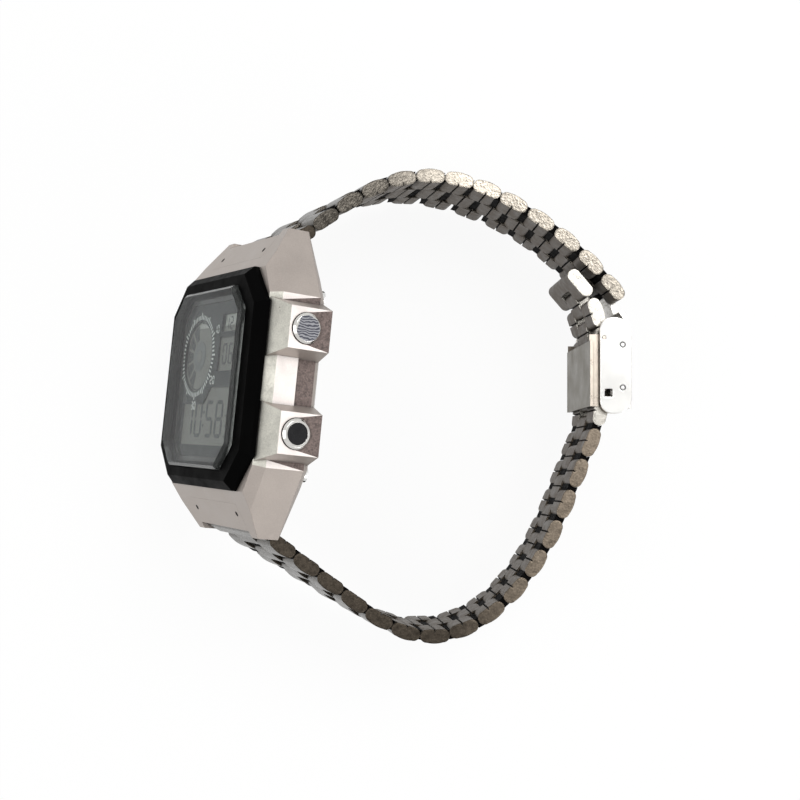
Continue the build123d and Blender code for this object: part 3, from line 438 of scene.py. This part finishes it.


# Painted shade: near-black discs and rings that stand for the shade in the pits and in the gap round the
# clasp's pins.
recess_shade = finish("recess_shade", tint(12, 10, 10), 0.0, 0.7, mottle=0.2, patch=0.4, Specular_IOR_Level=0.1)
panel = [(-panel_half_width, panel_start), (panel_half_width, panel_start), (panel_half_width, panel_end),
         (-panel_half_width, panel_end)]
panel_low, panel_high, pit_thickness = -0.44, 0.005, 0.02
pit_x, pit_y, pit_radius, pit_steps = 7.8, 19.3, 0.33, 18
pits = [disc_outline(x, pit_y, pit_radius, pit_steps) for x in (-pit_x, pit_x)]
for end, name in ((1, "12"), (-1, "6")):
    thin_plates(f"lug_panel_{name}", [panel], panel_low, panel_high - panel_low, case_satin,
                lug_place(end))
    thin_plates(f"lug_pits_{name}", pits, panel_high, pit_thickness, recess_shade, lug_place(end))

# %% [markdown]
# ## The module inside
# Nothing of the module shows while the watch is closed, but its pieces get their real finishes all the
# same, because the model can be taken apart: a black frame, a green board, a nickel battery with its
# steel clamp, pale grey steel springs and the thin brass plate of the buzzer.

# %% Module finishes
frame_black = finish("frame_black", tint(38, 38, 40), 0.0, 0.5, mottle=0.12)
board_green = finish("board_green", tint(34, 82, 52), 0.0, 0.35, mottle=0.3, patch=1.2, grain=0.4, bump=0.01)
cell_nickel = finish("cell_nickel", tint(196, 196, 192), 1.0, 0.28, mottle=0.08, patch=5, grain=0.1,
                     bump=0.004, stretch=(1, 6, 1))
spring_bright = finish("spring_bright", tint(190, 186, 176), 1.0, 0.25, mottle=0.1, patch=1, grain=0.1,
                       bump=0.004, stretch=(6, 1, 1))
buzzer_brass = finish("buzzer_brass", tint(190, 158, 92), 1.0, 0.3, mottle=0.12, patch=3, grain=0.15,
                      bump=0.004)
wear("module_frame", frame_black)
wear("circuit_board", board_green)
wear("battery_cell", cell_nickel)
wear("battery_clamp", spring_bright)
wear("button_springs", spring_bright)
wear("spring_bar_6", spring_bright)
wear("spring_bar_12", spring_bright)
wear("buzzer_plate", buzzer_brass)

# %% [markdown]
# ## Case back
# The back is a pressed steel plate, brushed along the watch. Brushing leaves long thin scratches, so its
# grain is stretched far along one way. Its four screws are chromed and catch small bright lights at the edge
# of the case.

# %% Case back finishes
back_brushed = finish("back_brushed", tint(178, 176, 172), 1.0, 0.34, mottle=0.1, patch=7, grain=0.1,
                      bump=0.008, stretch=(1, 0.05, 1), edge=0.1, crevice=0.8)
screw_chrome = finish("screw_chrome", tint(214, 214, 212), 1.0, 0.14, mottle=0.12, patch=0.8, grain=0.2,
                      bump=0.006, edge=0.06, crevice=0.5)
wear("case_back", back_brushed)
wear("case_back_screws", screw_chrome)

# %% [markdown]
# ## Push buttons
# All caps are polished metal. Buffing leaves soft waves in the face of the upper ones, which show as
# blue-grey ripples in what it mirrors; a wave texture paints them into their colour as painted reflection.
# The lower ones have a black plug inside a bright ring.


# %% Button finishes
def rippled_finish(name, dark, light):
    """Polished metal whose buffed waves show as dark and light bands of painted reflection in its colour."""
    material = finish(name, light, 1.0, 0.1, mottle=0.1, patch=1.5, grain=0.3, bump=0.004, edge=0.1)
    shader = material.node_tree.nodes["Principled BSDF"]
    place = add_node(material, "TexCoord").outputs["Object"]
    ripple = add_node(material, "TexWave", Scale=0.85 / MM, Distortion=7.0, Detail=2.5,
                      bands_direction="Y")
    join(material, place, ripple.inputs["Vector"])
    # Painted reflection: the wave's dark and light bands set the cap's colour.
    reflection_bands = add_node(material, "ValToRGB")
    reflection_bands.color_ramp.elements[0].position = 0.25
    reflection_bands.color_ramp.elements[0].color = dark
    reflection_bands.color_ramp.elements[1].position = 0.75
    reflection_bands.color_ramp.elements[1].color = light
    join(material, ripple.outputs["Fac"], reflection_bands.inputs["Fac"])
    join(material, reflection_bands.outputs["Color"], shader.inputs["Base Color"])
    return material


button_polish = finish("button_polish", tint(206, 204, 200), 1.0, 0.12, mottle=0.1, patch=1.5, grain=0.25,
                       bump=0.004, edge=0.1, crevice=0.5)
button_ripple = rippled_finish("button_ripple", tint(84, 86, 95), tint(168, 168, 173))
button_black = finish("button_black", tint(14, 14, 16), 0.0, 0.26, mottle=0.2, patch=1.2, grain=0.15,
                      bump=0.006, Specular_IOR_Level=0.25)
button_ring_inner, cap_start_x = 1.56, 20
button_y, button_z = 7.3, 5.3


def cap_finish_number(middle, normal):
    """0 for the cap's side and ring, 1 for its face inside the ring."""
    x, y, z = head_place(middle)
    off_axis = math.hypot(abs(y) - button_y, z - button_z)
    faces_out = abs(normal.dot(three_oclock)) > 0.9 and abs(x) > cap_start_x
    return 1 if faces_out and off_axis < button_ring_inner else 0


for side in ("right", "left"):
    wear(f"upper_{side}_button", button_polish, button_ripple, pick=cap_finish_number)
    wear(f"lower_{side}_button", button_polish, button_black, pick=cap_finish_number)

# %% [markdown]
# ## Links of the bracelet
# Each link is folded from sheet steel round its pins. On the wrist side the steel is left as rolled: satin,
# warm and grey-brown, with the gaps turned black by painted shade. The side edges are brighter: on the 12
# o'clock half a lighter copy of the edge finish is a painted highlight, and the tail is polished. Near the
# case the outer faces and edges are darker by painted shade. The outer faces have a coarse glittering grain.
# A face's finish depends on which way it looks on its own row, and the row's hinge pin, with the next one,
# gives those directions.

# %% Link finishes
def shade_toward_case(material, share):
    """Paints shade into a link finish: darker by a share near the case, with a soft change on the way to the
    clasp.
    """
    shader = material.node_tree.nodes["Principled BSDF"]
    shown = shader.inputs["Base Color"].links[0].from_socket
    along = add_node(material, "VectorMath", operation="DOT_PRODUCT")
    along.inputs[1].default_value = (1.0, 0.25, 0.0)
    join(material, add_node(material, "TexCoord").outputs["Object"], along.inputs[0])
    change = add_node(material, "MapRange")
    for socket, value in {"From Min": 0.022, "From Max": 0.036, "To Min": share, "To Max": 1.0}.items():
        change.inputs[socket].default_value = value
    join(material, along.outputs["Value"], change.inputs["Value"])
    painted_shade = add_node(material, "MixRGB", blend_type="MULTIPLY", Fac=1.0)
    join(material, shown, painted_shade.inputs["Color1"])
    join(material, change.outputs["Result"], painted_shade.inputs["Color2"])
    join(material, painted_shade.outputs["Color"], shader.inputs["Base Color"])


link_inner = finish("link_inner", tint(84, 75, 65), 0.3, 0.45, mottle=0.24, patch=1.6, grain=0.12,
                    bump=0.012, crevice=1.7, edge=0.2, Specular_IOR_Level=0.15)
link_outer = finish("link_outer", tint(150, 145, 137), 0.95, 0.3, mottle=0.5, patch=0.7, grain=0.25,
                    bump=0.05, crevice=0.7)
link_edge = finish("link_edge", tint(112, 102, 90), 0.95, 0.34, mottle=0.32, patch=0.8, grain=0.3,
                   bump=0.035, crevice=1.0, edge=0.35)
# Painted highlight: a lighter copy of the edge finish, worn by the rows of the 12 o'clock half.
link_edge_painted_highlight = finish("link_edge_painted_highlight", tint(132, 126, 117), 1.0, 0.25, mottle=0.42, patch=1.0,
                          grain=0.35, bump=0.045, crevice=0.9, edge=0.35)
link_polish = finish("link_polish", tint(190, 186, 178), 1.0, 0.24, mottle=0.3, patch=1.0, grain=0.2,
                     bump=0.012, crevice=0.8, edge=0.3)
# Painted shade: the near-black finish of the strips in the gaps between links.
gap_painted_shade = finish("gap_painted_shade", tint(9, 8, 8), 0.0, 0.8, mottle=0.3, patch=0.8, Specular_IOR_Level=0.05)
share_near_case = 0.3
# Painted shade near the case on the outer faces and edges of the links.
for material in (link_outer, link_edge, link_edge_painted_highlight):
    shade_toward_case(material, share_near_case)
    print(material.name, "grows darker toward the case")


# %% Which way each row of links looks
ring_middle = Vector((0.024, 0.0, 0.0))
lower_rows = [f"lower_links_{row:02d}" for row in range(1, 16)]
upper_rows = [f"upper_links_{row:02d}" for row in range(1, 13)]
lower_hinges = [f"lower_turn_{row:02d}" for row in range(1, 16)]
lower_hinges += ["clasp_turn", "tail_turn_1", "tail_end_turn"]
upper_hinges = [f"upper_turn_{row:02d}" for row in range(1, 13)]


def hinge_place(name):
    """The place of a hinge in metres."""
    return Vector(joints[name]["pos_m"])


def outward(start, end, pin):
    """The way from the wrist outward, square to a row's pin and to its line along the band."""
    way = (end - start).cross(pin).normalized()
    return way if way.dot((start + end) / 2 - ring_middle) > 0 else -way


def wear_links(node_name, start, end, pin, edge_finish):
    """Puts three link finishes on a row that lies between two hinge places."""
    out = outward(start, end, pin)

    def link_finish_number(middle, normal):
        """0 for the wrist side, 1 for the outside and 2 for a side edge."""
        if abs(normal.dot(pin)) > 0.8:
            return 2
        return 1 if normal.dot(out) > 0.2 else 0

    wear(node_name, link_inner, link_outer, edge_finish, pick=link_finish_number)


# The rows of the 12 o'clock half wear the painted highlight on their edges.
for names, hinges, edge_finish in ((lower_rows, lower_hinges, link_edge),
                                   (upper_rows, upper_hinges + ["end_12_turn"], link_edge_painted_highlight)):
    for row, node_name in enumerate(names):
        pin = Vector(joints[hinges[row]]["axis"]).normalized()
        wear_links(node_name, hinge_place(hinges[row]), hinge_place(hinges[row + 1]), pin, edge_finish)
clasp_pin = Vector(joints["clasp_turn"]["axis"]).normalized()
for node_name, first, second, pin, edge_finish in (
        ("clamped_links", "clasp_turn", "tail_turn_1", clasp_pin, link_polish),
        ("tail_links_1", "tail_turn_1", "tail_end_turn", clasp_pin, link_polish),
        ("tail_end", "tail_turn_1", "tail_end_turn", clasp_pin, link_polish),
        ("end_link_6", "end_6_turn", "lower_turn_01", three_oclock, link_edge),
        ("end_link_12", "upper_turn_12", "end_12_turn", three_oclock, link_edge)):
    wear_links(node_name, hinge_place(first), hinge_place(second), pin, edge_finish)

# %% [markdown]
# ## Painted shade in the gaps
# Between two links of a column there is a gap, and on the real bracelet no light comes through it, because
# the folded sheet runs on behind it in shade. A near-black strip in each gap is painted shade that stands
# for it. Its section is narrow in the middle and wide at both faces, which is the space between two round
# link ends, so it stays clear of both. The pins that no hinge turns on lie half a row from the hinges, a
# little outside the straight line where the band curves round the wrist.

# %% Gap strips
half_pitch, end_radius, strip_clear, strip_reach = 2.55, 1.0, 0.1, 0.72
strip_columns = {"centre": [(-3.3, 3.3)], "sides": [(-8.6, -3.65), (3.65, 8.6)]}
side_heights = [strip_reach * step / 3 for step in range(-3, 4)]
half_widths = [half_pitch / 2 - strip_clear - math.sqrt(end_radius ** 2 - v ** 2) for v in side_heights]
strip_outline = [(-width, height) for width, height in zip(half_widths, side_heights)]
strip_outline += [(width, height) for width, height in zip(half_widths[::-1], side_heights[::-1])]


def gap_shade_strips(name, before, start, end, after, pin, with_sides):
    """The black strips of painted shade of one row, between its hinges and the pin half way along it."""
    along = (end - start).normalized()
    out = outward(start, end, pin)
    bow = math.sqrt(max(0.0, (half_pitch * MM) ** 2 - ((end - start).length / 2) ** 2))
    turning = (after - end).normalized() - (start - before).normalized()
    middle = (start + end) / 2 + out * (-bow if turning.dot(out) > 0 else bow)
    solid = bmesh.new()
    gaps = [(start, middle, "centre")] + ([(middle, end, "sides")] if with_sides else [])
    for first, second, column in gaps:
        gap_along = (second - first).normalized()
        gap_out = outward(first, second, pin)
        for low, high in strip_columns[column]:
            rings = []
            for reach in (low, high):
                centre = (first + second) / 2 + pin * reach * MM
                rings.append([solid.verts.new(centre + (gap_along * s + gap_out * v) * MM)
                              for s, v in strip_outline])
            solid.faces.new(rings[0])
            solid.faces.new(rings[1][::-1])
            for i in range(len(strip_outline)):
                j = (i + 1) % len(strip_outline)
                solid.faces.new((rings[0][i], rings[0][j], rings[1][j], rings[1][i]))
    bmesh.ops.recalc_face_normals(solid, faces=solid.faces)
    mesh = bpy.data.meshes.new(name)
    solid.to_mesh(mesh)
    solid.free()
    mesh.materials.append(gap_painted_shade)
    piece = bpy.data.objects.new(name, mesh)
    bpy.context.scene.collection.objects.link(piece)
    return piece


for names, hinges in ((lower_rows, ["end_6_turn"] + lower_hinges),
                      (upper_rows, ["cover_unfold"] + upper_hinges + ["end_12_turn"])):
    for row, body in enumerate(names):
        places = [hinge_place(hinges[min(row + step, len(hinges) - 1)]) for step in range(4)]
        pin = Vector(joints[hinges[row + 1]]["axis"]).normalized()
        strips = gap_shade_strips(f"gap_shade_strips_{body}", *places, pin, with_sides=body != upper_rows[-1])
        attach(strips, body)
print("strips in", len(lower_rows) + len(upper_rows), "rows")

# %% [markdown]
# ## Clasp
# The clasp body is one pressed strip with two side walls, polished until they look white. The locking plate
# on the wrist side is satin grey, and the ears at its sides are bright. The cover and the blade are brushed
# along the band. The lines of the clasp are straight, so the brushed grain can follow one direction.

# %% Clasp finishes
clasp_polish = finish("clasp_polish", tint(228, 227, 224), 1.0, 0.16, mottle=0.03, patch=6, grain=0.3,
                      bump=0.003, edge=0.35, crevice=0.5)
clasp_satin = finish("clasp_satin", tint(188, 178, 166), 1.0, 0.3, mottle=0.1, patch=2, grain=0.1,
                     bump=0.008, stretch=(1, 0.1, 1), crevice=0.8)
plate_satin = finish("plate_satin", tint(104, 99, 88), 0.85, 0.38, mottle=0.07, patch=4, grain=0.1,
                     bump=0.008, stretch=(1, 0.08, 1), edge=0.1, crevice=0.8)
cover_brushed = finish("cover_brushed", tint(214, 212, 207), 1.0, 0.24, mottle=0.12, patch=1.5, grain=0.1,
                       bump=0.012, stretch=(1, 0.12, 1), edge=0.12, crevice=0.8)
wear("clasp_body", clasp_polish, clasp_satin,
     pick=lambda middle, normal: 0 if abs(normal.dot(clasp_pin)) > 0.8 else 1)
wear("clasp_pins", clasp_polish)
wear("clasp_blade", cover_brushed)
wear("clasp_cover", cover_brushed)
wear("locking_plate", plate_satin, clasp_satin,
     pick=lambda middle, normal: 1 if abs(normal.dot(clasp_pin)) > 0.8 else 0)

# %% [markdown]
# ## Rings round the clasp's pins
# Where a pin end is riveted into the polished side wall, a thin gap round it lies in shade. Flat black ring
# plates of painted shade on both walls show it. The pin of the blade is a hinge, so its place is known, and
# the catch pin lies nearer to the 6 o'clock side on the same line.

# %% Clasp pin rings
clasp_along = (hinge_place("tail_turn_1") - hinge_place("clasp_turn")).normalized()
clasp_out = outward(hinge_place("clasp_turn"), hinge_place("tail_turn_1"), clasp_pin)
blade_pin = hinge_place("clasp_open")
pin_spacing = 6.6
ring_inner, ring_outer, ring_steps, ring_thickness = 0.34, 0.46, 28, 0.03
wall_heights = [vertex.co.dot(clasp_pin) / MM for vertex in nodes["clasp_body"].data.vertices]


def wall_place(x, y, height):
    """A place on the clasp's side: along the band, outward, and along the pins from the middle."""
    level = blade_pin - clasp_pin * blade_pin.dot(clasp_pin)
    return level + (clasp_along * x + clasp_out * y + clasp_pin * height) * MM


def ring_outlines(x, y):
    """The plates of a thin ring round a place on the clasp's side."""
    turns = [2 * math.pi * step / ring_steps for step in range(ring_steps + 1)]
    return [[(x + r * math.cos(t), y + r * math.sin(t)) for r, t in
             ((ring_inner, first), (ring_outer, first), (ring_outer, second), (ring_inner, second))]
            for first, second in zip(turns, turns[1:])]


rings = ring_outlines(0, 0) + ring_outlines(-pin_spacing, 0)
# Black rings of painted shade on both side walls.
for name, height in (("near", max(wall_heights)), ("far", min(wall_heights) - ring_thickness)):
    thin_plates(f"clasp_pin_rings_{name}", rings, height, ring_thickness, recess_shade, wall_place,
                "clasp")

# %% [markdown]
# ## Floor and backdrop
# The photograph has a pure white ground. The floor is pale and takes a soft shadow. For the camera, and
# for what metal and glass mirror, most of its brightness comes from a plain white glow of strength 1, so
# the ground looks white while no extra light falls on the watch.


# %% Floor and world
def seen_directly(tree):
    """1 for rays from the camera and those that metal or glass sends on, and 0 for plain light."""
    path = tree.nodes.new("ShaderNodeLightPath")
    largest = path.outputs["Is Camera Ray"]
    for name in ("Is Glossy Ray", "Is Transmission Ray"):
        step = tree.nodes.new("ShaderNodeMath")
        step.operation = "MAXIMUM"
        tree.links.new(largest, step.inputs[0])
        tree.links.new(path.outputs[name], step.inputs[1])
        largest = step.outputs[0]
    return largest


floor_gap, floor_half, glow_share = 0.0001, 1.2, 0.92
floor_level = cad_box[0].z - floor_gap
floor_mesh = bpy.data.meshes.new("floor")
corners = [(x * floor_half, y * floor_half, floor_level) for x, y in ((-1, -1), (1, -1), (1, 1), (-1, 1))]
floor_mesh.from_pydata(corners, [], [(0, 1, 2, 3)])
floor = bpy.data.objects.new("floor", floor_mesh)
bpy.context.scene.collection.objects.link(floor)
floor_paper = finish("floor_paper", tint(238, 238, 236), 0.0, 0.9, mottle=0.01, patch=40, grain=1, bump=0.01)
tree = floor_paper.node_tree
glow = tree.nodes.new("ShaderNodeEmission")
glow.inputs["Color"].default_value = (1, 1, 1, 1)
glow.inputs["Strength"].default_value = 1.0
share = tree.nodes.new("ShaderNodeMath")
share.operation = "MULTIPLY"
share.inputs[1].default_value = glow_share
blend = tree.nodes.new("ShaderNodeMixShader")
output = tree.nodes["Material Output"]
tree.links.new(seen_directly(tree), share.inputs[0])
tree.links.new(share.outputs[0], blend.inputs["Fac"])
tree.links.new(tree.nodes["Principled BSDF"].outputs[0], blend.inputs[1])
tree.links.new(glow.outputs[0], blend.inputs[2])
tree.links.new(blend.outputs[0], output.inputs["Surface"])
floor_mesh.materials.append(floor_paper)

world = bpy.data.worlds.new("studio")
bpy.context.scene.world = world
world.use_nodes = True
backdrop = world.node_tree.nodes["Background"]
backdrop.inputs["Strength"].default_value = 1.0
mix = world.node_tree.nodes.new("ShaderNodeMixRGB")
mix.inputs["Color1"].default_value = (0.42, 0.42, 0.43, 1)
mix.inputs["Color2"].default_value = (1, 1, 1, 1)
world.node_tree.links.new(seen_directly(world.node_tree), mix.inputs["Fac"])
world.node_tree.links.new(mix.outputs["Color"], backdrop.inputs["Color"])
print("floor at", round(floor_level / MM, 2), "mm")

# %% [markdown]
# ## Lamps
# Three large soft lamps are enough. The main one stands above and to the upper right of the picture, so the
# polished edges on that side flash, the second fills in from the left, and a low one behind the head
# draws the edges of the case.


# %% Lamps
def soft_lamp(name, place, target, size, power):
    """A square soft box that looks at a place; places in metres."""
    data = bpy.data.lights.new(name, "AREA")
    data.size = size
    data.energy = power
    lamp = bpy.data.objects.new(name, data)
    bpy.context.scene.collection.objects.link(lamp)
    lamp.location = place
    lamp.rotation_mode = "QUATERNION"
    lamp.rotation_quaternion = (Vector(target) - Vector(place)).to_track_quat("-Z", "Y")
    print(name, power, "W")


soft_lamp("key_lamp", (0.25, 0.30, 0.55), (0.02, 0, 0), 0.35, 2.6)
soft_lamp("fill_lamp", (-0.35, -0.10, 0.45), (0.02, 0, 0), 0.4, 1.2)
soft_lamp("rim_lamp", (0.45, -0.25, 0.20), (0.02, 0, 0), 0.3, 0.9)

# %% [markdown]
# ## Camera
# The camera looks almost straight down. Its place was found from the photograph by fitting the corners of
# the case, the bezel and the buttons, whose sizes are known, so the lens and the distance agree with the
# perspective of the picture.

# %% Camera
camera_azimuth, camera_height, camera_roll = 238.646, 85.787, 5.440
camera_distance, camera_focus = 0.200, 1303.7
camera_target = Vector((0.0193, -0.000007, 0.0003))
azimuth, height, roll = (math.radians(angle) for angle in (camera_azimuth, camera_height, camera_roll))
back = Vector((math.cos(height) * math.cos(azimuth), math.cos(height) * math.sin(azimuth), math.sin(height)))
level_right = (-back).cross(Vector((0, 1, 0))).normalized()
level_up = level_right.cross(-back)
right = level_right * math.cos(roll) + level_up * math.sin(roll)
up = level_up * math.cos(roll) - level_right * math.sin(roll)
camera_data = bpy.data.cameras.new("camera")
camera_data.sensor_width = 36.0
camera_data.lens = camera_focus * camera_data.sensor_width / 800
camera_data.clip_start = 0.01
camera_data.clip_end = 10.0
camera = bpy.data.objects.new("camera", camera_data)
bpy.context.scene.collection.objects.link(camera)
turn_matrix = Matrix((right, up, back)).transposed().to_4x4()
camera.matrix_world = Matrix.Translation(camera_target + back * camera_distance) @ turn_matrix
bpy.context.scene.camera = camera
bpy.context.scene.view_settings.view_transform = "Standard"
print("camera at", camera.location, "lens", round(camera_data.lens, 1))

import json
